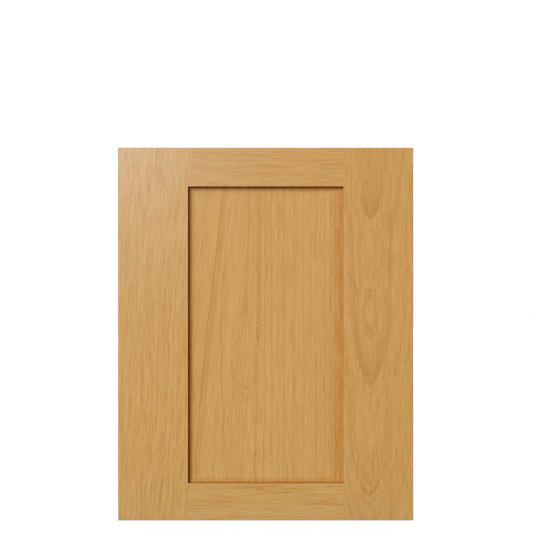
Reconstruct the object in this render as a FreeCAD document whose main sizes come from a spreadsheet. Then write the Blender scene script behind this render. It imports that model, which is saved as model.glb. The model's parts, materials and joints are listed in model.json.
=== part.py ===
import FreeCAD, Part

import os

import Sketcher

# Kitchen cabinet door of five flat pieces: two stiles, two rails and a recessed centre panel.
# The stiles run the full height. The rails fit between them on tongues that fill the stiles'
# grooves, and two fluted dowels pass through each corner joint. The panel floats in the grooves
# on small rubber spacers. The left stile is bored on its back for two concealed hinges.
#
# Frame: X to the right, Y from the front face to the back, Z up. The origin is the middle of
# the bottom edge, halfway through the thickness. Every length is in millimetres.

# Driving sizes: name, value, meaning.
SIZES = [
    ("door_width", 444.5, "overall width"),
    ("door_height", 561.0, "overall height"),
    ("frame_thickness", 19.05, "front face to back face of stiles and rails"),
    ("stile_width", 105.2, "outer edge to opening, upright pieces"),
    ("bottom_rail_width", 55.9, "outer edge to opening, lower cross piece"),
    ("top_rail_width", 58.4, "outer edge to opening, upper cross piece"),
    ("front_edge_radius", 1.6, "rounding round the door's front edge"),
    ("back_edge_chamfer", 0.8, "bevel round the door's back edge"),
    ("opening_bevel", 0.4, "bevel round the front of the opening"),
    ("panel_thickness", 6.35, "centre panel"),
    ("back_lip", 3.0, "frame's back face to the panel groove"),
    ("panel_clearance", 0.15, "panel face to groove wall, each side"),
    ("panel_reach", 7.0, "how far the panel's edge goes into a groove"),
    ("panel_edge_bevel", 0.5, "bevel that leads the panel into its groove"),
    ("groove_depth", 12.7, "groove along the inner edge of each frame piece"),
    ("tongue_clearance", 0.05, "glue space on each face of a tongue"),
    ("tongue_end_gap", 0.5, "tongue end to groove floor"),
    ("dowel_diameter", 8.0, "corner dowel"),
    ("dowel_length", 50.0, "corner dowel, half in each piece"),
    ("dowel_clearance", 0.05, "dowel to hole wall"),
    ("dowel_end_gap", 0.9, "dowel end to hole floor"),
    ("dowel_end_bevel", 1.0, "bevel at each dowel end"),
    ("dowel_flute_width", 0.9, "glue flute, across its mouth"),
    ("dowel_flute_depth", 0.35, "glue flute, below the dowel's surface"),
    ("dowel_flute_count", 12, "glue flutes round a dowel"),
    ("dowel_edge_distance", 14.0, "rail's outer edge to the outer dowel's axis"),
    ("dowel_groove_distance", 10.0, "bottom rail's groove floor to the inner dowel's axis"),
    ("cup_diameter", 35.0, "hinge cup bore"),
    ("cup_depth", 12.7, "hinge cup bore"),
    ("cup_backset", 22.5, "door's side edge to the cup's axis"),
    ("cup_end_distance", 89.0, "door's end to the nearer cup's axis"),
    ("cup_spur_diameter", 2.6, "centre mark that the boring bit leaves"),
    ("cup_spur_depth", 1.0, "centre mark that the boring bit leaves"),
    ("fixing_diameter", 8.0, "hinge fixing hole"),
    ("fixing_depth", 11.5, "hinge fixing hole"),
    ("fixing_spacing", 45.0, "between the two fixing holes of a hinge"),
    ("fixing_offset", 9.5, "cup's axis to the line of its fixing holes"),
    ("spacer_length", 12.0, "rubber spacer, along the groove"),
    ("spacer_rounding", 1.4, "rounding of a spacer's long edges"),
    ("side_spacer_inset", 80.0, "opening's corner to the first spacer in a stile"),
    ("end_spacer_inset", 55.0, "opening's corner to the first spacer in a rail"),
]

# Sizes that follow from the driving ones, as expressions for the document.
OPENING_WIDTH = "(Sizes.door_width - 2 * Sizes.stile_width)"
OPENING_HEIGHT = "(Sizes.door_height - Sizes.bottom_rail_width - Sizes.top_rail_width)"
PANEL_MIDDLE = f"(Sizes.bottom_rail_width + {OPENING_HEIGHT} / 2)"
FRONT = "(-1 * Sizes.frame_thickness / 2)"
GROOVE_WIDTH = "(Sizes.panel_thickness + 2 * Sizes.panel_clearance)"
GROOVE_START = f"(Sizes.frame_thickness - Sizes.back_lip - {GROOVE_WIDTH})"
PANEL_RECESS = f"({GROOVE_START} + Sizes.panel_clearance)"
TONGUE_START = f"({GROOVE_START} + Sizes.tongue_clearance)"
TONGUE_THICKNESS = f"({GROOVE_WIDTH} - 2 * Sizes.tongue_clearance)"
TONGUE_LENGTH = "(Sizes.groove_depth - Sizes.tongue_end_gap)"
DOWEL_HOLE_DIAMETER = "(Sizes.dowel_diameter + 2 * Sizes.dowel_clearance)"
DOWEL_HOLE_DEPTH = "(Sizes.dowel_length / 2 + Sizes.dowel_end_gap)"
INNER_DOWEL = "(Sizes.bottom_rail_width - Sizes.groove_depth - Sizes.dowel_groove_distance)"
DOWEL_SPACING = f"({INNER_DOWEL} - Sizes.dowel_edge_distance)"
DOWEL_PAIR_PITCH = f"(Sizes.door_height - Sizes.dowel_edge_distance - {INNER_DOWEL})"
CUP_PITCH = "(Sizes.door_height - 2 * Sizes.cup_end_distance)"
SPACER_GAP = "(Sizes.groove_depth - Sizes.panel_reach)"

# How a sketch counts the points of a curve, its own origin and its upright axis.
START_INDEX = 1
END_INDEX = 2
CENTRE_INDEX = 3
ORIGIN_INDEXES = (-1, 1)
UPRIGHT_AXIS_INDEX = -2

# Angles in degrees.
FULL_TURN = 360.0
HALF_TURN = 180.0
QUARTER_TURN = 90.0

# How near a line or plane a point has to lie to count as on it.
NEAR = 1e-4


def make_sheet(doc):
    """The driving sizes, one row each: name, value under an alias, meaning."""
    sheet = doc.addObject("Spreadsheet::Sheet", "Sizes")
    for row, (alias, value, meaning) in enumerate(SIZES, start=1):
        sheet.set(f"A{row}", alias)
        sheet.set(f"B{row}", str(value))
        sheet.setAlias(f"B{row}", alias)
        sheet.set(f"C{row}", meaning)
    doc.recompute()
    return sheet


def value_of(sheet, expression):
    """The number that an expression of sizes gives now."""
    return float(sheet.evalExpression(expression))


def make_body(doc, label):
    """An empty body whose label is the sub-part's name."""
    body = doc.addObject("PartDesign::Body", label)
    body.Label = label
    return body


def origin_feature(body, role):
    """One of the body's own origin planes or axes."""
    return next(f for f in body.Origin.OriginFeatures if f.Role == role)


def make_sketch(body, name, plane, offset=None):
    """A sketch on one of the body's origin planes, moved along the plane's normal by offset."""
    sketch = body.newObject("Sketcher::SketchObject", name)
    sketch.AttachmentSupport = [(origin_feature(body, plane), "")]
    sketch.MapMode = "FlatFace"
    if offset:
        sketch.setExpression("AttachmentOffset.Base.z", offset)
    body.Document.recompute()
    return sketch


def corner(side):
    """The point where a side of an outline starts, as a sketch's constraints name it."""
    return side, START_INDEX


def hold(sketch, kind, *places):
    """Adds a constraint that has no size of its own."""
    sketch.addConstraint(Sketcher.Constraint(kind, *places))


def drive(sketch, name, expression, kind, *places):
    """Adds a dimension to a sketch, names it and ties it to the sizes."""
    index = sketch.addConstraint(Sketcher.Constraint(kind, *places))
    sketch.renameConstraint(index, name)
    sketch.setExpression(f"Constraints.{name}", expression)


def draw_outline(sketch, corners):
    """A closed outline through corners. Sides along an axis are held to it."""
    sides = list(zip(corners, corners[1:] + corners[:1]))
    for (x, y), (far_x, far_y) in sides:
        side = Part.LineSegment(FreeCAD.Vector(x, y, 0), FreeCAD.Vector(far_x, far_y, 0))
        sketch.addGeometry(side, False)
    for i, ((x, y), (far_x, far_y)) in enumerate(sides):
        following = (i + 1) % len(sides)
        hold(sketch, "Coincident", i, END_INDEX, *corner(following))
        if abs(y - far_y) < NEAR:
            hold(sketch, "Horizontal", i)
        elif abs(x - far_x) < NEAR:
            hold(sketch, "Vertical", i)


def drive_side(sketch, side, name, expression):
    """Ties the length of an outline's side, which lies along an axis, to an expression."""
    line = sketch.Geometry[side]
    dx = line.EndPoint.x - line.StartPoint.x
    dy = line.EndPoint.y - line.StartPoint.y
    kind = "DistanceX" if abs(dx) > abs(dy) else "DistanceY"
    low, high = (START_INDEX, END_INDEX) if dx + dy > 0 else (END_INDEX, START_INDEX)
    drive(sketch, name, expression, kind, side, low, side, high, max(abs(dx), abs(dy)))


def drive_corner(sketch, side, axis, value, name, expression):
    """Ties one coordinate of a side's start to an expression, measured from the origin."""
    if value < 0:
        ends, distance = (*corner(side), *ORIGIN_INDEXES), f"-1 * ({expression})"
    else:
        ends, distance = (*ORIGIN_INDEXES, *corner(side)), expression
    drive(sketch, name, distance, f"Distance{axis}", *ends, abs(value))


def draw_rectangle(sheet, sketch, left, bottom, width, height):
    """A rectangle whose lower left corner and size are expressions of the sizes."""
    x, y = value_of(sheet, left), value_of(sheet, bottom)
    far_x = x + value_of(sheet, width)
    far_y = y + value_of(sheet, height)
    draw_outline(sketch, [(x, y), (far_x, y), (far_x, far_y), (x, far_y)])
    drive_corner(sketch, 0, "X", x, "left", left)
    drive_corner(sketch, 0, "Y", y, "bottom", bottom)
    drive_side(sketch, 0, "width", width)
    drive_side(sketch, 1, "height", height)


def draw_circle(sheet, sketch, x, y, diameter):
    """A circle whose centre and diameter are expressions of the sizes."""
    centre = FreeCAD.Vector(value_of(sheet, x), value_of(sheet, y), 0)
    size = value_of(sheet, diameter)
    circle = Part.Circle(centre, FreeCAD.Vector(0, 0, 1), size / 2)
    i = sketch.addGeometry(circle, False)
    ends = (*ORIGIN_INDEXES, i, CENTRE_INDEX)
    drive(sketch, f"centre_x_{i}", x, "DistanceX", *ends, centre.x)
    drive(sketch, f"centre_y_{i}", y, "DistanceY", *ends, centre.y)
    drive(sketch, f"diameter_{i}", diameter, "Diameter", i, size)


def add_pad(body, sketch, name, length, symmetric=False, reverse=False):
    """Extrudes a sketch along its normal."""
    pad = body.newObject("PartDesign::Pad", name)
    pad.Profile = sketch
    pad.SideType = "Symmetric" if symmetric else "One side"
    pad.Reversed = reverse
    pad.setExpression("Length", length)
    body.Document.recompute()
    return pad


def add_cut(body, kind, name, sketch, **settings):
    """Cuts a sketch out of the body, and makes sure that material went."""
    before = body.Shape.Volume
    cut = body.newObject(f"PartDesign::{kind}", name)
    cut.Profile = sketch
    for key, setting in settings.items():
        if key == "Length":
            cut.setExpression(key, setting)
        else:
            setattr(cut, key, setting)
    body.Document.recompute()
    if not body.Shape.Volume < before:
        raise RuntimeError(f"{body.Label}: {name} removed nothing")
    return cut


def add_line_pattern(body, name, axis, length, originals=None):
    """Two of each original, or of the whole body, the second a length along one of its axes."""
    pattern = body.newObject("PartDesign::LinearPattern", name)
    if originals:
        pattern.Originals = originals
    else:
        pattern.TransformMode = "Whole shape"
    pattern.Direction = (origin_feature(body, axis), [""])
    pattern.Occurrences = 2
    pattern.setExpression("Length", length)
    body.Tip = pattern
    body.Document.recompute()


def add_mirror(body, name, originals, plane):
    """Repeats features on the other side of one of the body's origin planes."""
    mirror = body.newObject("PartDesign::Mirrored", name)
    mirror.Originals = originals
    mirror.MirrorPlane = (origin_feature(body, plane), [""])
    body.Tip = mirror
    body.Document.recompute()


def edges_on(feature, **planes):
    """Names of the feature's edges whose ends and middle lie on all the planes given."""
    found = []
    for i, edge in enumerate(feature.Shape.Edges, start=1):
        points = [v.Point for v in edge.Vertexes] + [edge.CenterOfMass]
        if all(abs(getattr(p, axis) - at) < NEAR for p in points for axis, at in planes.items()):
            found.append(f"Edge{i}")
    return found


def dress(body, kind, name, size, lines):
    """Rounds or bevels the body's edges on the lines given, by an expression of the sizes."""
    base = body.Tip
    edges = [edge for line in lines for edge in edges_on(base, **line)]
    feature = body.newObject(f"PartDesign::{kind}", name)
    feature.Base = (base, edges)
    feature.setExpression("Radius" if kind == "Fillet" else "Size", size)
    body.Tip = feature
    body.Document.recompute()


def place(body, x, y, z, turn=0.0):
    """Puts a body in the door, at expressions of the sizes, turned about the Y axis."""
    rotation = FreeCAD.Rotation(FreeCAD.Vector(0, 1, 0), turn)
    body.Placement = FreeCAD.Placement(FreeCAD.Vector(), rotation)
    for key, expression in (("x", x), ("y", y), ("z", z)):
        body.setExpression(f"Placement.Base.{key}", expression)
    body.Document.recompute()


def draw_grooved_section(sheet, sketch, width, along_x):
    """The section of a frame piece: a rectangle with the panel groove in its inner edge.

    Its width runs along the sketch's X if along_x, and otherwise along Y. Its thickness runs
    from the front face, at 0, to the back."""
    inner = value_of(sheet, width)
    back = value_of(sheet, "Sizes.frame_thickness")
    floor = inner - value_of(sheet, "Sizes.groove_depth")
    start = value_of(sheet, GROOVE_START)
    end = start + value_of(sheet, GROOVE_WIDTH)
    front_wall = [(0, 0), (inner, 0), (inner, start), (floor, start)]
    back_wall = [(floor, end), (inner, end), (inner, back), (0, back)]
    section = front_wall + back_wall
    if not along_x:
        section = [(y, x) for x, y in section]
    draw_outline(sketch, section)
    hold(sketch, "Coincident", *corner(0), *ORIGIN_INDEXES)
    drive_side(sketch, 0, "piece_width", width)
    drive_side(sketch, 1, "front_wall", GROOVE_START)
    drive_side(sketch, 2, "groove_depth", "Sizes.groove_depth")
    drive_side(sketch, 3, "groove_width", GROOVE_WIDTH)
    drive_side(sketch, 7, "piece_thickness", "Sizes.frame_thickness")
    hold(sketch, "Vertical" if along_x else "Horizontal", *corner(1), *corner(5))


def add_opening_bevel(body, left, bottom):
    """Bevels the front of the opening on one frame piece, mitred at the opening's corners.

    The opening's lower left corner is given in the body's own frame."""
    front = {
        "Xmin": f"{left} - Sizes.opening_bevel",
        "Xmax": f"{left} + {OPENING_WIDTH} + Sizes.opening_bevel",
        "Zmin": f"{bottom} - Sizes.opening_bevel",
        "Zmax": f"{bottom} + {OPENING_HEIGHT} + Sizes.opening_bevel",
    }
    inside = {
        "X2min": left,
        "X2max": f"{left} + {OPENING_WIDTH}",
        "Z2min": bottom,
        "Z2max": f"{bottom} + {OPENING_HEIGHT}",
    }
    bevel = body.newObject("PartDesign::SubtractiveWedge", "opening_bevel")
    bevel.Ymin = 0
    bevel.setExpression("Ymax", "Sizes.opening_bevel")
    for key, expression in {**front, **inside}.items():
        bevel.setExpression(key, expression)
    body.Document.recompute()


def draw_dowel_holes(sheet, sketch):
    """The two dowel holes of a corner joint, seen along X, halfway through the thickness."""
    for height in ("Sizes.dowel_edge_distance", INNER_DOWEL):
        draw_circle(sheet, sketch, "Sizes.frame_thickness / 2", height, DOWEL_HOLE_DIAMETER)


def make_stile(doc, sheet, label, low_rail_width, bored):
    """An upright frame piece. Its outer edge is at X 0 and its lower end at Z 0.

    The rail at its lower end has the width given."""
    body = make_body(doc, label)
    section = make_sketch(body, "section_sketch", "XY_Plane")
    draw_grooved_section(sheet, section, "Sizes.stile_width", along_x=True)
    add_pad(body, section, "grooved_length", "Sizes.door_height")
    sketch = make_sketch(body, "dowel_hole_sketch", "YZ_Plane", "Sizes.stile_width")
    draw_dowel_holes(sheet, sketch)
    holes = add_cut(body, "Pocket", "dowel_holes", sketch, Length=DOWEL_HOLE_DEPTH)
    add_line_pattern(body, "holes_at_both_ends", "Z_Axis", DOWEL_PAIR_PITCH, [holes])
    if bored:
        add_hinge_bores(sheet, body)
    add_opening_bevel(body, "Sizes.stile_width", low_rail_width)
    top = value_of(sheet, "Sizes.door_height")
    back = value_of(sheet, "Sizes.frame_thickness")
    front_lines = [{"x": 0, "y": 0}, {"z": 0, "y": 0}, {"z": top, "y": 0}]
    dress(body, "Fillet", "front_edge", "Sizes.front_edge_radius", front_lines)
    back_lines = [{"x": 0, "y": back}, {"z": 0, "y": back}, {"z": top, "y": back}]
    dress(body, "Chamfer", "back_edge", "Sizes.back_edge_chamfer", back_lines)
    return body


def add_hinge_bores(sheet, body):
    """Two hinge cups, each with its pair of fixing holes, bored from the back face."""
    cup = add_hinge_cup(sheet, body)
    sketch = make_sketch(body, "fixing_sketch", "XZ_Plane", "-1 * Sizes.frame_thickness")
    across = "Sizes.cup_backset + Sizes.fixing_offset"
    for sign in ("-", "+"):
        height = f"Sizes.cup_end_distance {sign} Sizes.fixing_spacing / 2"
        draw_circle(sheet, sketch, across, height, "Sizes.fixing_diameter")
    depth = "Sizes.fixing_depth"
    fixings = add_cut(body, "Pocket", "fixing_holes", sketch, Length=depth, Reversed=True)
    add_line_pattern(body, "both_hinge_bores", "Z_Axis", CUP_PITCH, [cup, fixings])


def add_hinge_cup(sheet, body):
    """The lower hinge cup, turned about its axis: a flat floor with the bit's centre mark."""
    sketch = make_sketch(body, "cup_sketch", "XY_Plane", "Sizes.cup_end_distance")
    axis = value_of(sheet, "Sizes.cup_backset")
    wall = axis + value_of(sheet, "Sizes.cup_diameter / 2")
    spur = axis + value_of(sheet, "Sizes.cup_spur_diameter / 2")
    back = value_of(sheet, "Sizes.frame_thickness")
    floor = back - value_of(sheet, "Sizes.cup_depth")
    tip = floor - value_of(sheet, "Sizes.cup_spur_depth")
    draw_outline(sketch, [(axis, back), (wall, back), (wall, floor), (spur, floor), (axis, tip)])
    drive_corner(sketch, 0, "X", axis, "backset", "Sizes.cup_backset")
    drive_corner(sketch, 0, "Y", back, "back_face", "Sizes.frame_thickness")
    drive_side(sketch, 0, "radius", "Sizes.cup_diameter / 2")
    drive_side(sketch, 1, "depth", "Sizes.cup_depth")
    spur_cone = (*corner(4), *corner(3))
    spur_radius = "Sizes.cup_spur_diameter / 2"
    drive(sketch, "spur_radius", spur_radius, "DistanceX", *spur_cone, spur - axis)
    drive(sketch, "spur_depth", "Sizes.cup_spur_depth", "DistanceY", *spur_cone, floor - tip)
    turn = {"ReferenceAxis": (sketch, ["Edge5"]), "Angle": FULL_TURN}
    return add_cut(body, "Groove", "hinge_cup", sketch, **turn)


def make_rail(doc, sheet, label, width):
    """A cross piece between the stiles. Its middle is at X 0 and its outer edge at Z 0."""
    body = make_body(doc, label)
    section = make_sketch(body, "section_sketch", "YZ_Plane")
    draw_grooved_section(sheet, section, width, along_x=False)
    add_pad(body, section, "grooved_length", OPENING_WIDTH, symmetric=True)
    tongue_section = make_sketch(body, "tongue_sketch", "YZ_Plane", f"{OPENING_WIDTH} / 2")
    solid_width = f"({width} - Sizes.groove_depth)"
    draw_rectangle(sheet, tongue_section, TONGUE_START, "0", TONGUE_THICKNESS, solid_width)
    tongue = add_pad(body, tongue_section, "tongue", TONGUE_LENGTH)
    tongue_end = f"{OPENING_WIDTH} / 2 + {TONGUE_LENGTH}"
    sketch = make_sketch(body, "dowel_hole_sketch", "YZ_Plane", tongue_end)
    draw_dowel_holes(sheet, sketch)
    depth = f"{TONGUE_LENGTH} + {DOWEL_HOLE_DEPTH}"
    holes = add_cut(body, "Pocket", "dowel_holes", sketch, Length=depth)
    add_mirror(body, "other_end", [tongue, holes], "YZ_Plane")
    add_opening_bevel(body, f"-1 * {OPENING_WIDTH} / 2", width)
    dress(body, "Fillet", "front_edge", "Sizes.front_edge_radius", [{"y": 0, "z": 0}])
    back = value_of(sheet, "Sizes.frame_thickness")
    dress(body, "Chamfer", "back_edge", "Sizes.back_edge_chamfer", [{"y": back, "z": 0}])
    return body


def make_panel(doc, sheet, label):
    """The flat centre panel. Its middle is at X 0, Z 0 and its front face at Y 0."""
    body = make_body(doc, label)
    width = f"({OPENING_WIDTH} + 2 * Sizes.panel_reach)"
    height = f"({OPENING_HEIGHT} + 2 * Sizes.panel_reach)"
    sketch = make_sketch(body, "sheet_sketch", "XZ_Plane")
    draw_rectangle(sheet, sketch, f"-1 * {width} / 2", f"-1 * {height} / 2", width, height)
    add_pad(body, sketch, "sheet", "Sizes.panel_thickness", reverse=True)
    faces = [{"y": 0}, {"y": value_of(sheet, "Sizes.panel_thickness")}]
    dress(body, "Chamfer", "lead_in", "Sizes.panel_edge_bevel", faces)
    return body


def make_dowels(doc, sheet, label):
    """The eight fluted dowels of the four corner joints, two to a joint.

    The first lies along X with its middle at the origin."""
    body = make_body(doc, label)
    add_dowel_turning(sheet, body)
    add_dowel_flutes(sheet, body)
    add_line_pattern(body, "left_and_right", "X_Axis", OPENING_WIDTH)
    add_line_pattern(body, "joint_pair", "Z_Axis", DOWEL_SPACING)
    add_line_pattern(body, "bottom_and_top", "Z_Axis", DOWEL_PAIR_PITCH)
    return body


def add_dowel_turning(sheet, body):
    """One plain dowel, with bevelled ends."""
    half = value_of(sheet, "Sizes.dowel_length / 2")
    radius = value_of(sheet, "Sizes.dowel_diameter / 2")
    bevel = value_of(sheet, "Sizes.dowel_end_bevel")
    sketch = make_sketch(body, "turning_sketch", "XY_Plane")
    right_end = [(half, 0), (half, radius - bevel), (half - bevel, radius)]
    left_end = [(-x, y) for x, y in reversed(right_end)]
    draw_outline(sketch, right_end + left_end)
    hold(sketch, "Symmetric", *corner(5), *corner(0), *ORIGIN_INDEXES)
    drive_side(sketch, 5, "dowel_length", "Sizes.dowel_length")
    drive_corner(sketch, 2, "Y", radius, "dowel_radius", "Sizes.dowel_diameter / 2")
    bevels = [
        ("right_length", "DistanceX", 2, 1),
        ("right_depth", "DistanceY", 1, 2),
        ("left_length", "DistanceX", 4, 3),
        ("left_depth", "DistanceY", 4, 3),
    ]
    for name, kind, low, high in bevels:
        ends = (*corner(low), *corner(high))
        drive(sketch, f"bevel_{name}", "Sizes.dowel_end_bevel", kind, *ends, bevel)
    turning = body.newObject("PartDesign::Revolution", "turning")
    turning.Profile = sketch
    turning.ReferenceAxis = (sketch, ["Edge6"])
    turning.Angle = FULL_TURN
    body.Document.recompute()


def add_dowel_flutes(sheet, body):
    """Straight flutes round the dowel, which carry glue along it.

    The cutting triangle is twice as deep as a flute, and so twice as wide as its mouth."""
    radius = value_of(sheet, "Sizes.dowel_diameter / 2")
    half_width = value_of(sheet, "Sizes.dowel_flute_width")
    depth = value_of(sheet, "Sizes.dowel_flute_depth")
    sketch = make_sketch(body, "flute_sketch", "YZ_Plane")
    outside, floor = radius + depth, radius - depth
    draw_outline(sketch, [(-half_width, outside), (0, floor), (half_width, outside)])
    hold(sketch, "PointOnObject", *corner(1), UPRIGHT_AXIS_INDEX)
    floor_radius = "Sizes.dowel_diameter / 2 - Sizes.dowel_flute_depth"
    drive_corner(sketch, 1, "Y", floor, "floor_radius", floor_radius)
    left_slope = "-1 * Sizes.dowel_flute_width"
    drive_corner(sketch, 0, "X", -half_width, "left_slope", left_slope)
    drive_corner(sketch, 2, "X", half_width, "right_slope", "Sizes.dowel_flute_width")
    slope = (*corner(1), *corner(2))
    rise = "2 * Sizes.dowel_flute_depth"
    drive(sketch, "rise", rise, "DistanceY", *slope, outside - floor)
    whole = {"Length": "Sizes.dowel_length", "SideType": "Symmetric"}
    flute = add_cut(body, "Pocket", "flute", sketch, **whole)
    ring = body.newObject("PartDesign::PolarPattern", "flutes")
    ring.Originals = [flute]
    ring.Axis = (origin_feature(body, "X_Axis"), [""])
    ring.Angle = FULL_TURN
    ring.setExpression("Occurrences", "Sizes.dowel_flute_count")
    body.Tip = ring
    body.Document.recompute()


def make_spacer(doc, sheet, label):
    """A rubber spacer, squeezed along X between a groove's floor and the panel's edge.

    Its length runs along Z and its middle is at the origin."""
    body = make_body(doc, label)
    sketch = make_sketch(body, "section_sketch", "XY_Plane")
    width, depth = SPACER_GAP, "Sizes.panel_thickness"
    draw_rectangle(sheet, sketch, f"-1 * {width} / 2", f"-1 * {depth} / 2", width, depth)
    add_pad(body, sketch, "block", "Sizes.spacer_length", symmetric=True)
    half_x = value_of(sheet, width) / 2
    half_y = value_of(sheet, depth) / 2
    corners = [{"x": x, "y": y} for x in (-half_x, half_x) for y in (-half_y, half_y)]
    dress(body, "Fillet", "rounding", "Sizes.spacer_rounding", corners)
    return body


def make_spacers(doc, sheet):
    """Three spacers in each stile's groove and two in each rail's, in their places."""
    depth = f"{FRONT} + {PANEL_RECESS} + Sizes.panel_thickness / 2"
    past_corner = f"(Sizes.panel_reach + {SPACER_GAP} / 2)"
    low = "Sizes.bottom_rail_width + Sizes.side_spacer_inset"
    high = "Sizes.door_height - Sizes.top_rail_width - Sizes.side_spacer_inset"
    heights = [("low", low), ("middle", PANEL_MIDDLE), ("high", high)]
    bottom = f"Sizes.bottom_rail_width - {past_corner}"
    top = f"Sizes.door_height - Sizes.top_rail_width + {past_corner}"
    levels = [("bottom", bottom), ("top", top)]
    spacers = []
    for side, sign in (("left", "-1"), ("right", "1")):
        in_stile = f"{sign} * ({OPENING_WIDTH} / 2 + {past_corner})"
        for name, height in heights:
            spacer = make_spacer(doc, sheet, f"{side}_spacer_{name}")
            place(spacer, in_stile, depth, height)
            spacers.append(spacer)
        in_rail = f"{sign} * ({OPENING_WIDTH} / 2 - Sizes.end_spacer_inset)"
        for name, height in levels:
            spacer = make_spacer(doc, sheet, f"{name}_spacer_{side}")
            place(spacer, in_rail, depth, height, turn=QUARTER_TURN)
            spacers.append(spacer)
    return spacers


def make_door(doc, sheet):
    """Every piece of the door, in its place."""
    low_width = "Sizes.bottom_rail_width"
    high_width = "Sizes.top_rail_width"
    left_stile = make_stile(doc, sheet, "left_stile", low_width, bored=True)
    place(left_stile, "-1 * Sizes.door_width / 2", FRONT, "0")
    right_stile = make_stile(doc, sheet, "right_stile", high_width, bored=False)
    right_edge = "Sizes.door_width / 2"
    place(right_stile, right_edge, FRONT, "Sizes.door_height", turn=HALF_TURN)
    bottom_rail = make_rail(doc, sheet, "bottom_rail", low_width)
    place(bottom_rail, "0", FRONT, "0")
    top_rail = make_rail(doc, sheet, "top_rail", high_width)
    place(top_rail, "0", FRONT, "Sizes.door_height", turn=HALF_TURN)
    panel = make_panel(doc, sheet, "centre_panel")
    place(panel, "0", f"{FRONT} + {PANEL_RECESS}", PANEL_MIDDLE)
    dowels = make_dowels(doc, sheet, "corner_dowels")
    place(dowels, f"-1 * {OPENING_WIDTH} / 2", "0", "Sizes.dowel_edge_distance")
    pieces = [left_stile, right_stile, bottom_rail, top_rail, panel, dowels]
    return pieces + make_spacers(doc, sheet)


def check_and_export(doc, parts):
    """Stops on a failed object, and otherwise writes one STEP file for each sub-part."""
    for item in doc.Objects:
        if "Invalid" in item.State or "Error" in item.State:
            raise RuntimeError(f"{item.Label} failed: {item.State}")
    for part in parts:
        shape = part.Shape
        if shape.isNull() or not shape.isValid() or not shape.Solids:
            raise RuntimeError(f"{part.Label} has no valid shape")
    os.makedirs("parts", exist_ok=True)
    for part in parts:
        part.Shape.exportStep(os.path.join("parts", f"{part.Label}.step"))


def main():
    doc = FreeCAD.newDocument("CabinetDoor")
    sheet = make_sheet(doc)
    parts = make_door(doc, sheet)
    doc.recompute()
    check_and_export(doc, parts)


main()
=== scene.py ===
import json
import math

import bpy
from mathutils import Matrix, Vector


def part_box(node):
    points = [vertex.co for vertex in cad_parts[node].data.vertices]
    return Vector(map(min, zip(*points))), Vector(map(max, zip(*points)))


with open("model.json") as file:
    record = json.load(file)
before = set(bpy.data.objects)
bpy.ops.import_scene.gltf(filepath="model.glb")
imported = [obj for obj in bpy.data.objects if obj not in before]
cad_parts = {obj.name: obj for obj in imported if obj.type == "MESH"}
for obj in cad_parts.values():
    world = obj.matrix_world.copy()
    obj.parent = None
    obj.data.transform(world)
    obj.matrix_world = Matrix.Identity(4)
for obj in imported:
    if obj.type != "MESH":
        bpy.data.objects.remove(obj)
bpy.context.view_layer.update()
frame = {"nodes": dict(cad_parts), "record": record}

# Kitchen cabinet door in clear satin lacquer on pale, warm wood. Every length is in metres and in
# the model's own frame: X to the right, Y from the front face to the back, Z up.
#
# Each board has its own grain, cut from a solid figure: growth rings round a pith line that runs
# along the board, so that faces, edges and ends show the same rings. On top come colour bands,
# streaks, flecks, fibres and hair lines.

FRONT_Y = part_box("left_stile")[0].y
BACK_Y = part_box("left_stile")[1].y
PANEL_FRONT_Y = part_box("centre_panel")[0].y
DOOR_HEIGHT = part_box("left_stile")[1].z
DOOR_MIDDLE = Vector((0.0, 0.0, DOOR_HEIGHT / 2))
OPENING_HALF_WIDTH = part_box("right_stile")[0].x
OPENING_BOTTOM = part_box("bottom_rail")[1].z
OPENING_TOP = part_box("top_rail")[0].z

# Camera: level, without shift, a little above the door's middle.
CAMERA_X = 0.0013
CAMERA_Z = 0.3822
CAMERA_DISTANCE = 1.28
VIEW_WIDTH = 0.8015
SENSOR_WIDTH = 36.0

# Lamps: place relative to the door's middle, side length, and how bright they make a white face
# that is turned like the door's front or back. At 1 it renders white.
KEY_LAMP = {
    "offset": (-10.8, -24.3, 9.6),
    "size": 14.5,
    "level": 0.93,
    "colour": (0.80, 0.90, 0.98),
}
SHEEN_LAMP = {
    "offset": (-2.15, -9.0, 2.12),
    "size": 1.2,
    "level": 0.093,
    "colour": (0.0, 0.66, 1.0),
    "only_gloss": True,
}
BACK_LAMP = {
    "offset": (2.2, 4.5, 1.6),
    "size": 2.0,
    "level": 0.55,
    "colour": (1.0, 1.0, 1.0),
}

# The room's light from the front and from behind, and from which slant on, along Y, a direction
# starts to count as behind and wholly does.
FRONT_FILL = (0.29, 0.16, 0.06, 1.0)
BACK_FILL = (0.9, 0.9, 0.9, 1.0)
BEHIND = (0.35, 0.85)

# The floor: what it glows and what colour it has where it shows, and its colour as it lights the
# door from below.
FLOOR_FRONT = -0.1
FLOOR_BACK = 4.0
FLOOR_HALF_WIDTH = 3.0
FLOOR_GLOW = 0.86
FLOOR_PALE = (0.24, 0.25, 0.28, 1.0)
FLOOR_DARK = (0.15, 0.10, 0.06, 1.0)
WHITE = (1.0, 1.0, 1.0, 1.0)

# How much of the white floor and room the lacquer mirrors.
MIRRORED_SHARE = 0.5

# Colours, each with its place from 0 to 1: the lacquered wood and the raw wood of the bores and
# dowels, both from pale to dark, and the spacers' rubber.
WOOD_TONES = [
    (0.0, (0.685, 0.451, 0.189)),
    (0.35, (0.624, 0.366, 0.121)),
    (0.65, (0.558, 0.293, 0.078)),
    (1.0, (0.461, 0.199, 0.0385)),
]
RAW_WOOD_TONES = [
    (0.0, (0.70, 0.52, 0.33)),
    (0.5, (0.60, 0.42, 0.24)),
    (1.0, (0.42, 0.26, 0.12)),
]
RUBBER_TONES = [
    (0.0, (0.02, 0.02, 0.021)),
    (1.0, (0.07, 0.068, 0.065)),
]
RUBBER_GRAINS_PER_METRE = 1500.0

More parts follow.
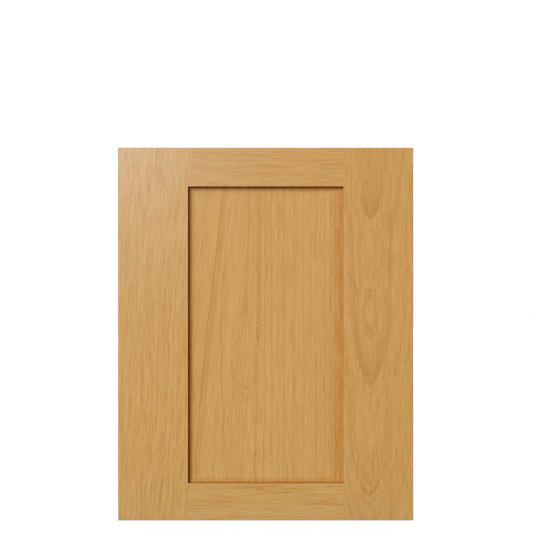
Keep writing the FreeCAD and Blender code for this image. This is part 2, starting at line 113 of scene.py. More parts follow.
# How the darkness of the wood runs over one year's ring, from the heart of the tree outwards.
RING_PROFILE = [
    (0.0, 0.0),
    (0.45, 0.05),
    (0.8, 0.45),
    (0.95, 1.0),
    (0.985, 0.9),
    (1.0, 0.0),
]

# Rings: they weaken between these two distances to either side of the heart. They wander with a
# noise of so many cells to the metre, across and along. The thin ones between them are a noise with
# cells of this size, through the rings, across and along.
SIDE_RINGS_FADE = (0.006, 0.024)
RING_WANDER_CELLS = (14.0, 6.0)
THIN_RING_SIZE = (0.0018, 0.06, 0.09)

# Dark lines: half their width, and how far a winding one takes to fade out beyond its ends.
LINE_HALF_WIDTH = 0.0013
LINE_FADE = 0.03

# Fibres wave with a noise of so many cells to the metre, across and along.
WAVE_CELLS = (25.0, 22.0)

# Streaks: width, length and strength. The patches weaken and strengthen rings and winding lines
# about their mean. Of the hairs only the tops show, as dark lines.
PATCHES = (0.03, 0.12, 0.45)
PATCHES_MEAN = 0.92
BAND_SIZE = (0.016, 0.35)
WIDE_STREAKS = (0.0042, 0.06, 0.1)
NARROW_STREAKS = (0.0011, 0.02, 0.72)
FLECKS = (0.0014, 0.0022, 0.26)
FIBRES = (0.0007, 0.008, 0.4)
HAIRS = (0.0017, 0.04, 1.0)
HAIR_TOPS = (0.12, 0.6)
HAIR_DARKNESS = 0.22

# Ends and narrow edges: how squarely a face is turned where it starts to count as one and where
# it wholly does, and how much darker an end is.
TURNED = (0.6, 0.95)
END_TONE = 0.3

# Painted shade along the panel's sides, where the frame's recess shades it: how dark it is there,
# and how far it goes. It starts a little under the frame.
PAINTED_CORNER_SHADE = {
    "left": (0.58, 0.014),
    "right": (0.38, 0.026),
    "low": (0.42, 0.01),
    "top": (0.48, 0.013),
}
PAINTED_CORNER_SHADE_START = -0.003

# Painted highlight on the frame's front edges round the opening: over what width and depth it
# fades.
PAINTED_EDGE_HIGHLIGHT_WIDTH = (0.0004, 0.0024)
PAINTED_EDGE_HIGHLIGHT_DEPTH = (0.0005, 0.002)

# Bores: how far beyond their radius the raw wood reaches, how far behind the front they end at
# least, and how thick the lacquer on the back is.
BORE_MARGIN = 0.0002
BORES_BEHIND_FRONT = 0.003
BACK_LACQUER = 0.0001

# How rough the lacquer is, how much more so on the fibres, and how rough the raw wood is.
LACQUER_ROUGHNESS = 0.3
FIBRE_ROUGHNESS = 0.15
RAW_ROUGHNESS = 0.85


class Shader:
    """The node tree of one material or of the world, built one node at a time."""

    def __init__(self, owner):
        owner.use_nodes = True
        self.owner = owner
        self.tree = owner.node_tree
        self.tree.nodes.clear()

    def add(self, kind, inputs=(), **settings):
        """A node with its settings, whose inputs are numbers or other nodes' outputs."""
        node = self.tree.nodes.new(kind)
        for key, setting in settings.items():
            setattr(node, key, setting)
        for socket, value in dict(inputs).items():
            if isinstance(value, bpy.types.NodeSocket):
                self.tree.links.new(value, node.inputs[socket])
            else:
                node.inputs[socket].default_value = value
        return node

    def math(self, operation, *values, clamp=False):
        node = self.add("ShaderNodeMath", enumerate(values), operation=operation, use_clamp=clamp)
        return node.outputs[0]

    def total(self, *values):
        result = values[0]
        for value in values[1:]:
            result = self.math("ADD", result, value)
        return result

    def blend(self, factor, low, high):
        """Goes from low at factor 0 to high at factor 1."""
        inputs = {"Value": factor, "To Min": low, "To Max": high}
        return self.add("ShaderNodeMapRange", inputs).outputs["Result"]

    def ramp(self, value, start, end):
        """0 up to start, 1 from end on, and smooth between them."""
        inputs = {"Value": value, "From Min": start, "From Max": end}
        node = self.add("ShaderNodeMapRange", inputs, interpolation_type="SMOOTHSTEP")
        return node.outputs["Result"]

    def combine(self, x, y, z):
        return self.add("ShaderNodeCombineXYZ", {"X": x, "Y": y, "Z": z}).outputs[0]

    def separate(self, vector):
        return self.add("ShaderNodeSeparateXYZ", {0: vector}).outputs

    def place(self):
        """Where a point lies in the model's frame: its X, Y and Z."""
        return self.separate(self.add("ShaderNodeTexCoord").outputs["Object"])

    def distance(self, x, y):
        squares = self.total(self.math("MULTIPLY", x, x), self.math("MULTIPLY", y, y))
        return self.math("SQRT", squares)

    def noise(self, place, amount, detail=2.0):
        """Noise about zero, one cell to each unit of place, at most about amount either way."""
        inputs = {"Vector": place, "Scale": 1.0, "Detail": detail, "Roughness": 0.55}
        value = self.add("ShaderNodeTexNoise", inputs).outputs["Fac"]
        return self.math("MULTIPLY", self.math("SUBTRACT", value, 0.5), 2.0 * amount)

    def curve(self, value, points):
        """A smooth curve through a few points, and level beyond the first and the last."""
        xs = [x for x, _ in points]
        ys = [y for _, y in points]
        low, span = min(ys), (max(ys) - min(ys)) or 1.0
        inputs = {"Value": value, "From Min": xs[0], "From Max": xs[-1]}
        place = self.add("ShaderNodeMapRange", inputs).outputs["Result"]
        node = self.add("ShaderNodeFloatCurve", {"Value": place})
        line = node.mapping.curves[0]
        while len(line.points) < len(points):
            line.points.new(0.5, 0.5)
        for point, (x, y) in zip(line.points, points):
            point.location = ((x - xs[0]) / (xs[-1] - xs[0]), (y - low) / span)
        node.mapping.update()
        scaled = self.math("MULTIPLY", node.outputs[0], span)
        return self.math("ADD", scaled, low)

    def colour(self, value, tones):
        """A colour that runs through the tones, each a place from 0 to 1 and a colour."""
        node = self.add("ShaderNodeValToRGB", {"Fac": value})
        stops = node.color_ramp.elements
        while len(stops) < len(tones):
            stops.new(0.5)
        for stop, (place, rgb) in zip(stops, tones):
            stop.position = place
            stop.color = (*rgb, 1.0)
        return node.outputs["Color"]

    def mix_colour(self, factor, low, high):
        node = self.add("ShaderNodeMix", {"Factor": factor}, data_type="RGBA")
        for name, value in zip(("A", "B"), (low, high)):
            socket = next(s for s in node.inputs if s.name == name and s.type == "RGBA")
            if isinstance(value, bpy.types.NodeSocket):
                self.tree.links.new(value, socket)
            else:
                socket.default_value = value
        return next(s for s in node.outputs if s.type == "RGBA")


def board_place(shader, along_z):
    """Where a point lies in its board: across it, through it and along it."""
    x, y, z = shader.place()
    across, along = (x, z) if along_z else (z, x)
    return across, y, along


def growth_rings(shader, board, across, depth, along):
    """How far out a point lies, counted from the face over the pith, and how far beside it."""
    per_width, per_length = RING_WANDER_CELLS
    wander = shader.noise(
        shader.combine(
            shader.math("MULTIPLY", across, per_width),
            shader.math("MULTIPLY", depth, per_width),
            shader.math("ADD", shader.math("MULTIPLY", along, per_length), board["seed"]),
        ),
        board["wander"],
    )
    pith = shader.curve(along, board["pith"])
    side = shader.total(shader.math("SUBTRACT", across, pith), wander)
    face = board.get("face", FRONT_Y)
    below = shader.math("ADD", depth, board["pith_depth"] - face)
    rise = shader.curve(along, board["rise"])
    rings = shader.total(shader.distance(side, below), -board["pith_depth"], rise)
    return rings, shader.math("ABSOLUTE", side)


def streaks(shader, board, across, depth, along, width, length, amount, detail=2.0):
    """Noise drawn out along the board, width across and length along."""
    place = shader.combine(
        shader.math("DIVIDE", across, width),
        shader.math("DIVIDE", depth, width),
        shader.math("ADD", shader.math("DIVIDE", along, length), board["seed"]),
    )
    return shader.noise(place, amount, detail)


def late_wood(shader, board, rings, beside, patchy):
    """The dark part of the rings: each ring as the board names it, or all rings alike."""
    if "figure" in board:
        dark = shader.curve(rings, board["figure"])
    else:
        turn = shader.math("FRACT", shader.math("DIVIDE", rings, board["ring_spacing"]))
        dark = shader.curve(turn, RING_PROFILE)
    weaker = shader.blend(shader.ramp(beside, *SIDE_RINGS_FADE), 1.0, board["side_rings"])
    strength = shader.math("MULTIPLY", patchy, board["ring_strength"])
    return shader.math("MULTIPLY", dark, shader.math("MULTIPLY", weaker, strength))


def long_lines(shader, board, across):
    """Single dark lines along the board, each a place across it and a darkness."""
    points = []
    for place, darkness in board["lines"]:
        start, end = place - LINE_HALF_WIDTH, place + LINE_HALF_WIDTH
        points += [(start, 0.0), (place, darkness), (end, 0.0)]
    return shader.curve(across, points)


def winding_lines(shader, board, across, along):
    """Single dark lines that wind and fade out beyond their ends, each a curve and a darkness."""
    dark = 0.0
    for places, darkness in board["winding_lines"]:
        aside = shader.math("SUBTRACT", across, shader.curve(along, places))
        pale = shader.ramp(shader.math("ABSOLUTE", aside), 0.0, LINE_HALF_WIDTH)
        line = shader.math("MULTIPLY", shader.math("SUBTRACT", 1.0, pale), darkness)
        first, last = places[0][0], places[-1][0]
        begun = shader.ramp(along, first - LINE_FADE, first)
        ended = shader.ramp(along, last, last + LINE_FADE)
        line = shader.math("MULTIPLY", line, shader.math("SUBTRACT", begun, ended))
        dark = shader.math("MAXIMUM", dark, line)
    return dark


def drifted(shader, board, across, along):
    """Place across the board, moved back by as much as the fibres have drifted."""
    lean = shader.curve(along, board["lean"])
    if "straight_from" in board:
        straight = shader.ramp(across, *board["straight_from"])
        lean = shader.math("MULTIPLY", lean, shader.math("SUBTRACT", 1.0, straight))
    per_width, per_length = WAVE_CELLS
    wave = shader.noise(
        shader.combine(
            shader.math("MULTIPLY", across, per_width),
            0.0,
            shader.math("ADD", shader.math("MULTIPLY", along, per_length), board["seed"]),
        ),
        board["wave"],
        detail=1.0,
    )
    return shader.math("SUBTRACT", across, shader.math("ADD", lean, wave))


def board_tone(shader, board, across, depth, along):
    """How dark the wood is, from 0 to 1, and the height of its fibres."""
    rings, beside = growth_rings(shader, board, across, depth, along)
    leaning = drifted(shader, board, across, along)
    patches = streaks(shader, board, leaning, depth, along, *PATCHES)
    patchy = shader.total(patches, PATCHES_MEAN)
    parts = [board["tone"], late_wood(shader, board, rings, beside, patchy)]
    if "lines" in board:
        parts.append(long_lines(shader, board, leaning))
    if "winding_lines" in board:
        winding = winding_lines(shader, board, across, along)
        parts.append(shader.math("MULTIPLY", winding, patchy))
    spacing, width, length = THIN_RING_SIZE
    thin_rings = shader.noise(
        shader.combine(
            shader.math("DIVIDE", rings, spacing),
            shader.math("DIVIDE", across, width),
            shader.math("ADD", shader.math("DIVIDE", along, length), board["seed"]),
        ),
        board["thin_rings"],
        detail=1.0,
    )
    bands = streaks(shader, board, leaning, depth, along, *BAND_SIZE, board["bands"])
    flecks = streaks(shader, board, leaning, depth, along, *FLECKS, detail=0.0)
    run = shader.math("DIVIDE", along, board["fibre_length"])
    wide = streaks(shader, board, leaning, depth, run, *WIDE_STREAKS)
    narrow = streaks(shader, board, leaning, depth, run, *NARROW_STREAKS)
    fibres = streaks(shader, board, leaning, depth, run, *FIBRES)
    hairs = streaks(shader, board, leaning, depth, run, *HAIRS)
    dark_hairs = shader.math("MULTIPLY", shader.ramp(hairs, *HAIR_TOPS), HAIR_DARKNESS)
    grain = shader.total(wide, narrow, fibres, dark_hairs)
    grain = shader.math("MULTIPLY", grain, board["grain"])
    tone = shader.total(*parts, thin_rings, bands, flecks, grain)
    height = shader.total(narrow, fibres)
    return tone, height


def soak_and_painted_edge_shade(shader, board, along_z):
    """Darker ends, which soak up the finish, and painted shade on narrow edges and recess walls."""
    normal = shader.separate(shader.add("ShaderNodeTexCoord").outputs["Normal"])
    end, edge = (normal[2], normal[0]) if along_z else (normal[0], normal[2])
    on_end = shader.ramp(shader.math("ABSOLUTE", end), *TURNED)
    on_edge = shader.ramp(shader.math("ABSOLUTE", edge), *TURNED)
    darker_end = shader.math("MULTIPLY", on_end, END_TONE)
    return shader.total(darker_end, shader.math("MULTIPLY", on_edge, board["painted_edge_shade"]))


def painted_corner_shade(shader):
    """Painted shade on the panel next to the frame, where the recess shades it."""
    x, _, z = shader.place()
    from_sides = {
        "left": shader.math("ADD", x, OPENING_HALF_WIDTH),
        "right": shader.math("SUBTRACT", OPENING_HALF_WIDTH, x),
        "low": shader.math("SUBTRACT", z, OPENING_BOTTOM),
        "top": shader.math("SUBTRACT", OPENING_TOP, z),
    }
    shaded = 0.0
    for side, (darkness, width) in PAINTED_CORNER_SHADE.items():
        pale = shader.ramp(from_sides[side], PAINTED_CORNER_SHADE_START, width)
        there = shader.math("MULTIPLY", shader.math("SUBTRACT", 1.0, pale), darkness)
        shaded = shader.math("MAXIMUM", shaded, there)
    return shaded


def painted_edge_highlight(shader):
    """1 on the frame's sharp edges round the opening, where a painted highlight pales the wood."""
    x, y, z = shader.place()
    beyond_side = shader.math("SUBTRACT", shader.math("ABSOLUTE", x), OPENING_HALF_WIDTH)
    beyond_low = shader.math("SUBTRACT", OPENING_BOTTOM, z)
    beyond_top = shader.math("SUBTRACT", z, OPENING_TOP)
    beyond = shader.math("MAXIMUM", beyond_side, shader.math("MAXIMUM", beyond_low, beyond_top))
    near = shader.math("SUBTRACT", 1.0, shader.ramp(beyond, *PAINTED_EDGE_HIGHLIGHT_WIDTH))
    deep = shader.ramp(y, FRONT_Y + PAINTED_EDGE_HIGHLIGHT_DEPTH[0], FRONT_Y + PAINTED_EDGE_HIGHLIGHT_DEPTH[1])
    return shader.math("SUBTRACT", near, deep, clamp=True)


def wood_shader(name, board, along_z=True, bored=(), with_corner_shade=False, gloss=1.0):
    """Lacquered wood. Where it is bored after lacquering, the raw wood shows."""
    shader = Shader(bpy.data.materials.new(name))
    across, depth, along = board_place(shader, along_z)
    tone, height = board_tone(shader, board, across, depth, along)
    # Painted shade along the panel's sides, next to the frame, where the recess shades it.
    if with_corner_shade:
        tone = shader.total(tone, painted_corner_shade(shader))
    # Painted highlight on the frame's front edges round the opening.
    if "painted_edge_highlight" in board:
        paler = shader.math("MULTIPLY", painted_edge_highlight(shader), board["painted_edge_highlight"])
        tone = shader.math("SUBTRACT", tone, paler)
    # Darker ends, which soak up the finish, and painted shade on narrow edges and recess walls.
    tone = shader.total(tone, soak_and_painted_edge_shade(shader, board, along_z))
    colour = shader.colour(tone, WOOD_TONES)
    rougher = shader.math("MULTIPLY", height, FIBRE_ROUGHNESS)
    roughness = shader.total(LACQUER_ROUGHNESS, rougher)
    if bored:
        raw = bored_wood(shader, bored)
        colour = shader.mix_colour(raw, colour, shader.colour(tone, RAW_WOOD_TONES))
        roughness = shader.blend(raw, roughness, RAW_ROUGHNESS)
    bump = shader.add("ShaderNodeBump", {"Height": height, "Strength": 0.35, "Distance": 0.0002})
    surface = {
        "Base Color": colour,
        "Roughness": roughness,
        "IOR": 1.5,
        "Specular IOR Level": 0.25 * gloss,
        "Coat Weight": 0.17 * gloss,
        "Coat Roughness": 0.25,
        "Normal": bump.outputs[0],
    }
    return finish_shader(shader, surface)


def bored_wood(shader, bores):
    """1 on the walls and floors of the bores, each given by its axis and radius."""
    x, y, z = shader.place()
    inside = 0.0
    for centre_x, centre_z, radius in bores:
        dx = shader.math("SUBTRACT", x, centre_x)
        dz = shader.math("SUBTRACT", z, centre_z)
        near = shader.math("LESS_THAN", shader.distance(dx, dz), radius + BORE_MARGIN)
        inside = shader.math("MAXIMUM", inside, near)
    behind_front = shader.math("GREATER_THAN", y, FRONT_Y + BORES_BEHIND_FRONT)
    below_back = shader.math("LESS_THAN", y, BACK_Y - BACK_LACQUER)
    return shader.math("MULTIPLY", inside, shader.math("MULTIPLY", behind_front, below_back))


def finish_shader(shader, surface):
    principled = shader.add("ShaderNodeBsdfPrincipled", surface)
    shader.add("ShaderNodeOutputMaterial", {"Surface": principled.outputs[0]})
    return shader.owner


def hinge_bores():
    """Axis and radius of each bore that the record's mounts name, cups and fixing holes."""
    bores = []
    for mount in frame["record"]["mounts"]:
        x, _, z = mount["pos_m"]
        dims = mount["dims"]
        if mount["kind"] == "bore":
            bores.append((x, z, dims["r_mm"] / 1000))
        elif mount["kind"] == "bolt_pattern":
            half = dims["spacing_y_mm"] / 2 / 1000
            bores += [(x, z + side * half, dims["hole_r_mm"] / 1000) for side in (-1, 1)]
    return bores


# The boards. The seed picks the noise, and tone is how dark the plain wood is. Along the board,
# pith is where the heart of the tree lay across it, rise how far the rings climb towards the face,
# and lean how far the fibres drift across it, which fades out over straight_from. The pith's depth
# is measured from the frame's front face, or from the face that a board names. The figure says
# how dark each ring is, and without one all rings are alike and ring_spacing apart. side_rings is
# what is left of them at the sides, wander and wave are how far rings and fibres stray, and
# fibre_length stretches the streaks. Lines and winding_lines are single dark lines.
# painted_edge_shade is painted shade on the narrow edges, the recess walls among them, and
# painted_edge_highlight is a painted highlight that pales the front edges round the opening. The
# other names are strengths.
LEFT_STILE = {
    "seed": 3.0,
    "tone": 0.38,
    "pith": [(0.0, -0.02), (0.3, 0.01), (0.561, 0.02)],
    "pith_depth": 0.30,
    "rise": [(0.0, 0.0), (0.561, -0.004)],
    "wander": 0.002,
    "ring_spacing": 0.009,
    "ring_strength": 0.04,
    "side_rings": 1.0,
    "thin_rings": 0.05,
    "lean": [
        (0.0, 0.004),
        (0.12, 0.0145),
        (0.2, 0.0185),
        (0.3, 0.021),
        (0.36, 0.0245),
        (0.45, 0.034),
        (0.561, 0.043),
    ],
    "wave": 0.0009,
    "lines": [
        (-0.206, 0.1),
        (-0.190, 0.12),
        (-0.181, 0.2),
        (-0.166, 0.12),
        (-0.158, 0.16),
        (-0.149, 0.1),
        (-0.137, 0.14),
    ],
    "bands": 0.08,
    "grain": 0.95,
    "fibre_length": 1.9,
    "painted_edge_shade": 0.15,
    "painted_edge_highlight": 0.6,
}
RIGHT_STILE = {
    "seed": 11.0,
    "tone": 0.43,
    "pith": [(0.0, 0.1533), (0.04, 0.156), (0.2, 0.1575), (0.46, 0.158), (0.561, 0.164)],
    "pith_depth": 0.020,
    "rise": [
        (0.0, 0.009),
        (0.0256, 0.0029),
        (0.0371, 0.0),
        (0.0544, -0.0049),
        (0.0665, -0.0074),
        (0.0797, -0.0102),
        (0.0974, -0.0133),
        (0.1245, -0.0170),
        (0.1817, -0.0182),
        (0.1940, -0.0186),
        (0.2028, -0.0198),
        (0.2110, -0.0214),
        (0.2300, -0.0246),
        (0.2526, -0.0289),
        (0.2827, -0.0333),
        (0.3000, -0.0350),
        (0.3159, -0.0361),
        (0.3300, -0.0351),
        (0.3420, -0.0337),
        (0.3500, -0.0353),
        (0.3570, -0.0375),
        (0.3640, -0.0384),
        (0.3750, -0.0388),
        (0.4002, -0.0390),
        (0.4400, -0.0394),
        (0.4500, -0.0399),
        (0.4560, -0.0411),
        (0.4640, -0.0431),
        (0.4720, -0.0446),
        (0.4816, -0.0465),
        (0.5057, -0.0490),
        (0.5570, -0.0520),
    ],
    "figure": [
        (-0.0540, 0.2),
        (-0.0480, 0.36),
        (-0.0445, 0.54),
        (-0.0422, 0.68),
        (-0.0407, 0.5),
        (-0.0396, 0.0),
        (-0.0384, 0.0),
        (-0.0379, 0.45),
        (-0.0374, 0.0),
        (-0.0346, 0.0),
        (-0.0338, 0.6),
        (-0.0331, 0.05),
        (-0.0323, 0.5),
        (-0.0316, 0.0),
        (-0.0290, 0.1),
        (-0.0262, 0.4),
        (-0.0235, 0.64),
        (-0.0208, 0.84),
        (-0.0196, 0.55),
        (-0.0186, 0.0),
        (-0.0140, 0.05),
        (-0.0082, 0.15),
        (-0.0074, 0.45),
        (-0.0066, 0.1),
        (-0.0057, 0.5),
        (-0.0047, 0.2),
        (-0.0022, 0.55),
        (-0.0009, 0.8),
        (0.0001, 0.5),
        (0.0010, 0.0),
        (0.0021, 0.0),
        (0.0029, 0.5),
        (0.0037, 0.0),
        (0.0090, 0.05),
        (0.0110, 0.7),
        (0.0124, 0.05),
        (0.0180, 0.1),
        (0.0200, 0.7),
        (0.0214, 0.05),
        (0.0300, 0.5),
        (0.0320, 0.0),
    ],
    "wander": 0.0005,
    "ring_strength": 0.36,
    "side_rings": 0.48,
    "thin_rings": 0.06,
    "lean": [(0.0, 0.0), (0.561, 0.0)],
    "wave": 0.0006,
    "winding_lines": [
        ([(0.23, 0.171), (0.2885, 0.187), (0.32, 0.189), (0.36, 0.187), (0.505, 0.189)], 0.24),
        ([(0.21, 0.148), (0.246, 0.14), (0.28, 0.1365), (0.317, 0.134), (0.505, 0.128)], 0.16),
        ([(0.016, 0.189), (0.068, 0.187), (0.1, 0.1845), (0.122, 0.1825), (0.177, 0.183)], 0.22),
    ],
    "bands": 0.06,
    "grain": 0.66,
    "fibre_length": 1.3,
    "painted_edge_shade": 0.15,
}
TOP_RAIL = {
    "seed": 23.0,
    "tone": 0.42,
    "pith": [(-0.12, 0.47), (0.0, 0.462), (0.12, 0.47)],
    "pith_depth": 0.12,
    "rise": [(-0.12, 0.0), (0.0, 0.003), (0.12, 0.0)],
    "wander": 0.0015,
    "ring_spacing": 0.011,
    "ring_strength": 0.07,
    "side_rings": 1.0,
    "thin_rings": 0.06,
    "lean": [(-0.12, 0.0), (0.0, 0.0012), (0.12, 0.0)],
    "wave": 0.001,
    "winding_lines": [
        ([(-0.044, 0.556), (-0.007, 0.548), (0.01, 0.546), (0.035, 0.542), (0.1, 0.543)], 0.28),
        ([(-0.021, 0.542), (0.011, 0.534), (0.048, 0.534), (0.07, 0.537), (0.11, 0.535)], 0.22),
        ([(-0.117, 0.528), (-0.063, 0.528), (-0.013, 0.52), (0.048, 0.522), (0.115, 0.523)], 0.22),
    ],
    "bands": 0.06,
    "grain": 0.66,
    "fibre_length": 1.7,
    "painted_edge_shade": 0.5,
    "painted_edge_highlight": 0.04,
}
BOTTOM_RAIL = {
    "seed": 37.0,
    "tone": 0.37,
    "pith": [(-0.12, 0.10), (0.02, 0.11), (0.12, 0.10)],
    "pith_depth": 0.12,
    "rise": [(-0.12, 0.0), (0.02, -0.004), (0.12, 0.0)],
    "wander": 0.0015,
    "ring_spacing": 0.012,
    "ring_strength": 0.08,
    "side_rings": 1.0,
    "thin_rings": 0.06,
    "lean": [(-0.12, 0.0), (0.0, 0.001), (0.12, 0.0)],
    "wave": 0.001,
    "winding_lines": [
        ([(-0.044, 0.0535), (-0.022, 0.051), (-0.007, 0.0475), (0.01, 0.043), (0.1, 0.04)], 0.28),
        ([(-0.07, 0.038), (-0.03, 0.037), (-0.012, 0.0405), (0.008, 0.0425), (0.1, 0.037)], 0.2),
        ([(0.005, 0.052), (0.027, 0.0497), (0.045, 0.048), (0.057, 0.042), (0.1, 0.033)], 0.22),
        ([(-0.117, 0.029), (-0.05, 0.0285), (-0.02, 0.0275), (0.043, 0.026), (0.115, 0.024)], 0.24),
    ],
    "bands": 0.06,
    "grain": 0.8,
    "fibre_length": 1.7,
    "painted_edge_shade": 0.62,
    "painted_edge_highlight": 0.04,
}
PANEL = {
    "seed": 51.0,
    "tone": 0.39,
    "face": PANEL_FRONT_Y,
    "pith": [
        (0.05, -0.032),
        (0.2, -0.0315),
        (0.245, -0.0335),
        (0.268, -0.030),
        (0.286, -0.0225),
        (0.33, -0.0205),
        (0.5, -0.018),
    ],
    "pith_depth": 0.0176,
    "rise": [
        (0.05, 0.014),
        (0.141, 0.0053),
        (0.195, 0.0),
        (0.2285, -0.0078),
        (0.25, -0.0085),
        (0.268, -0.006),
        (0.286, -0.0034),
        (0.33, -0.0028),
        (0.48, -0.002),
    ],
    "figure": [
        (-0.0030, 0.0),
        (-0.0012, 0.2),
        (-0.0006, 0.8),
        (0.0001, 0.1),
        (0.0008, 0.0),
        (0.0014, 0.4),
        (0.0021, 0.0),
    ],
    "wander": 0.0006,
    "ring_strength": 0.34,
    "side_rings": 0.75,
    "thin_rings": 0.03,
    "lean": [(0.091, -0.0172), (0.2826, 0.0), (0.4, 0.014), (0.5, 0.0246)],
    "straight_from": (-0.06, 0.01),
    "wave": 0.0007,
    "lines": [
        (-0.1122, 0.15),
        (-0.0891, 0.34),
        (-0.0865, 0.16),
        (-0.0839, 0.14),
        (-0.0813, 0.14),
        (-0.0620, 0.1),
        (-0.0230, 0.14),
        (-0.0107, 0.22),
        (-0.0015, 0.24),
        (0.0092, 0.24),
        (0.0190, 0.1),
        (0.0276, 0.2),
        (0.0427, 0.16),
        (0.0568, 0.22),
        (0.0683, 0.14),
        (0.0760, 0.24),
        (0.0897, 0.22),
        (0.0984, 0.2),
        (0.1060, 0.16),
        (0.1134, 0.2),
    ],
    "winding_lines": [
        ([(0.118, -0.063), (0.2, -0.066), (0.287, -0.0675), (0.4, -0.06), (0.475, -0.0535)], 0.36),
    ],
    "bands": 0.18,
    "grain": 0.81,
    "fibre_length": 2.2,
    "painted_edge_shade": 0.0,
}
DOWEL = {
    "seed": 71.0,
    "tone": 0.3,
    "pith": [(-0.2, 0.6), (0.2, 0.6)],
    "pith_depth": 0.1,
    "rise": [(-0.2, 0.0), (0.2, 0.0)],
    "wander": 0.001,
    "ring_spacing": 0.004,
    "ring_strength": 0.2,
    "side_rings": 1.0,
    "thin_rings": 0.1,
    "lean": [(-0.2, 0.0), (0.2, 0.0)],
    "wave": 0.0002,
    "bands": 0.05,
    "grain": 1.0,
    "fibre_length": 0.5,
}


def dowel_shader():
    """Bare beech, with the fine flecks of its rays."""
    shader = Shader(bpy.data.materials.new("dowel_beech"))
    across, depth, along = board_place(shader, along_z=False)
    tone, height = board_tone(shader, DOWEL, across, depth, along)
    bump = shader.add("ShaderNodeBump", {"Height": height, "Strength": 0.4, "Distance": 0.0001})
    surface = {
        "Base Color": shader.colour(tone, RAW_WOOD_TONES),
        "Roughness": shader.total(0.75, shader.math("MULTIPLY", height, 0.2)),
        "Normal": bump.outputs[0],
    }
    return finish_shader(shader, surface)


def rubber_shader():
    """Black rubber with a dusty, slightly mottled skin."""
    shader = Shader(bpy.data.materials.new("spacer_rubber"))
    place = shader.add("ShaderNodeTexCoord").outputs["Object"]
    inputs = {0: place, "Scale": RUBBER_GRAINS_PER_METRE}
    grains = shader.add("ShaderNodeVectorMath", inputs, operation="SCALE")
    dust = shader.noise(grains.outputs[0], 0.5, detail=4.0)
    bump = shader.add("ShaderNodeBump", {"Height": dust, "Strength": 0.4, "Distance": 0.0001})
    surface = {
        "Base Color": shader.colour(shader.math("ADD", dust, 0.5), RUBBER_TONES),
        "Roughness": shader.total(0.7, shader.math("MULTIPLY", dust, 0.2)),
        "Normal": bump.outputs[0],
    }
    return finish_shader(shader, surface)


def paint_nodes():
    """Gives every piece its material, the same rubber to all spacers."""
    bores = hinge_bores()
    materials = {
        "left_stile": wood_shader("wood_left_stile", LEFT_STILE, bored=bores),
        "right_stile": wood_shader("wood_right_stile", RIGHT_STILE),
        "top_rail": wood_shader("wood_top_rail", TOP_RAIL, along_z=False),
        "bottom_rail": wood_shader("wood_bottom_rail", BOTTOM_RAIL, along_z=False),
        # Only the panel gets painted shade along its sides.
        "centre_panel": wood_shader("wood_panel", PANEL, with_corner_shade=True, gloss=0.4),
        "corner_dowels": dowel_shader(),
    }
    rubber = rubber_shader()
    for name, node in frame["nodes"].items():
        material = materials.get(name, rubber)
        if not node.data.materials:
            node.data.materials.append(material)
        for slot in node.material_slots:
            slot.link = "OBJECT"
            slot.material = material


def shown_rays(shader):
    """Two factors: 1 for the camera's own rays, and a share for ones mirrored or through glass."""
    rays = shader.add("ShaderNodeLightPath").outputs
    mirrored = shader.math("MAXIMUM", rays["Is Glossy Ray"], rays["Is Transmission Ray"])
    return rays["Is Camera Ray"], shader.math("MULTIPLY", mirrored, MIRRORED_SHARE)


def make_world():
    """White behind the object and to the camera, and a dim room in front of the object."""
    world = bpy.data.worlds.new("studio")
    bpy.context.scene.world = world
    shader = Shader(world)
    direction = shader.separate(shader.add("ShaderNodeTexCoord").outputs["Generated"])
    behind = shader.ramp(direction[1], *BEHIND)
    light = shader.mix_colour(behind, FRONT_FILL, BACK_FILL)
    camera, mirrored = shown_rays(shader)
    shown = shader.math("MAXIMUM", camera, shader.math("MULTIPLY", mirrored, behind))
    colour = shader.mix_colour(shown, light, WHITE)
    background = shader.add("ShaderNodeBackground", {"Color": colour})
    shader.add("ShaderNodeOutputWorld", {"Surface": background.outputs[0]})


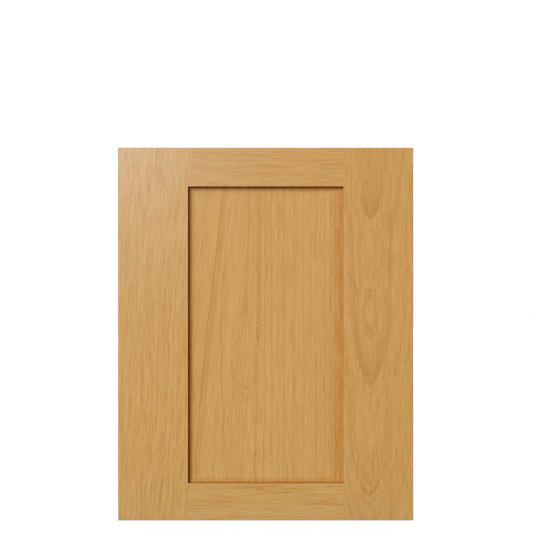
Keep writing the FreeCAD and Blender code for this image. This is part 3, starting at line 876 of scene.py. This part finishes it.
def make_floor():
    """A pale floor that shows white and keeps the shadow, and throws little light up."""
    corners = [
        (-FLOOR_HALF_WIDTH, FLOOR_FRONT, 0.0),
        (FLOOR_HALF_WIDTH, FLOOR_FRONT, 0.0),
        (FLOOR_HALF_WIDTH, FLOOR_BACK, 0.0),
        (-FLOOR_HALF_WIDTH, FLOOR_BACK, 0.0),
    ]
    mesh = bpy.data.meshes.new("floor")
    mesh.from_pydata(corners, [], [(0, 1, 2, 3)])
    floor = bpy.data.objects.new("floor", mesh)
    bpy.context.collection.objects.link(floor)
    shader = Shader(bpy.data.materials.new("floor"))
    pale = shader.add("ShaderNodeBsdfDiffuse", {"Color": FLOOR_PALE})
    glow = shader.add("ShaderNodeEmission", {"Color": WHITE, "Strength": FLOOR_GLOW})
    seen = shader.add("ShaderNodeAddShader", {0: pale.outputs[0], 1: glow.outputs[0]})
    unseen = shader.add("ShaderNodeBsdfDiffuse", {"Color": FLOOR_DARK})
    shown = shader.math("MAXIMUM", *shown_rays(shader))
    mix = shader.add("ShaderNodeMixShader", {0: shown, 1: unseen.outputs[0], 2: seen.outputs[0]})
    shader.add("ShaderNodeOutputMaterial", {"Surface": mix.outputs[0]})
    mesh.materials.append(shader.owner)


def make_lamp(name, offset, size, level, colour, only_gloss=False):
    """A square softbox that faces the door's middle, and may show in the gloss alone.

    P watts at a distance d light a white face that is turned to them to P / (pi^2 d^2).
    """
    offset = Vector(offset)
    lamp = bpy.data.lights.new(name, "AREA")
    lamp.size = size
    lamp.color = colour
    facing = abs(offset.y) / offset.length
    lamp.energy = level * math.pi ** 2 * offset.length_squared / facing
    softbox = bpy.data.objects.new(name, lamp)
    softbox.location = DOOR_MIDDLE + offset
    softbox.rotation_euler = offset.to_track_quat("Z", "Y").to_euler()
    softbox.visible_camera = False
    softbox.visible_diffuse = not only_gloss
    bpy.context.collection.objects.link(softbox)


def make_camera():
    data = bpy.data.cameras.new("camera")
    data.sensor_width = SENSOR_WIDTH
    data.lens = SENSOR_WIDTH * CAMERA_DISTANCE / VIEW_WIDTH
    camera = bpy.data.objects.new("camera", data)
    camera.location = (CAMERA_X, FRONT_Y - CAMERA_DISTANCE, CAMERA_Z)
    camera.rotation_euler = (math.pi / 2, 0.0, 0.0)
    bpy.context.collection.objects.link(camera)
    bpy.context.scene.camera = camera


paint_nodes()
make_world()
make_floor()
make_lamp("key", **KEY_LAMP)
make_lamp("sheen", **SHEEN_LAMP)
make_lamp("back", **BACK_LAMP)
make_camera()
bpy.context.scene.view_settings.view_transform = "Standard"
